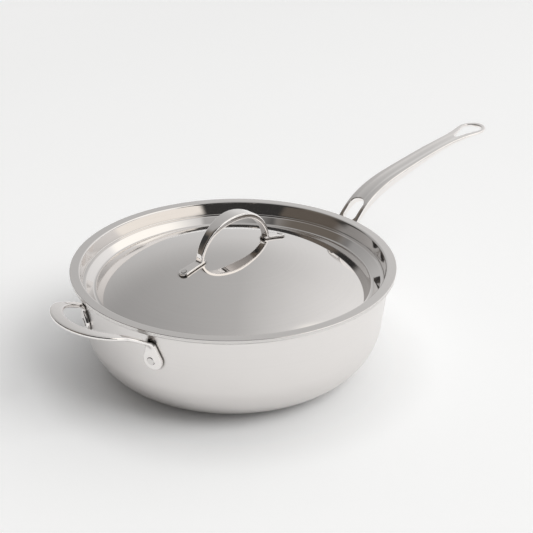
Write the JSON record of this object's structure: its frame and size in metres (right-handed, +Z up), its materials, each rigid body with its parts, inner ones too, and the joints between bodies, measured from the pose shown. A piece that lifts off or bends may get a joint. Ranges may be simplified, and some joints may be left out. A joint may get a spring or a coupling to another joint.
{
  "type": "saute pan with lid",
  "caption": "Round clad-steel saute pan with a long riveted handle, a riveted helper handle and a recessed domed lid that lifts off.",
  "frame": {"origin": "on the pan's axis at the underside of its flat base", "axes": "+Z up along the pan's axis, +X along the long handle, -X along the helper handle"},
  "size_m": [0.5489, 0.292, 0.1435],
  "materials": {
    "satin_steel": "satin, fine turned grain",
    "core_aluminium": "cut edge, dull",
    "inner_steel": "satin, fine turned grain",
    "cast_steel": "polished casting",
    "rivet_steel": "polished",
    "polished_steel": "mirror polished"
  },
  "bodies": {
    "pan": {"pan_outer_skin": "satin_steel", "pan_core": "core_aluminium", "pan_inner_skin": "inner_steel", "long_handle": "cast_steel", "long_handle_rivets": "rivet_steel", "helper_handle": "cast_steel", "helper_handle_rivets": "rivet_steel"},
    "lid": {"lid_shell": "polished_steel", "lid_handle": "cast_steel", "lid_handle_rivets": "rivet_steel"}
  },
  "joints": [
    {"name": "lid_lift", "type": "slide", "parent": "pan", "child": "lid", "axis": [0, 0, 1], "range_m": [0, 0.09]}
  ]
}
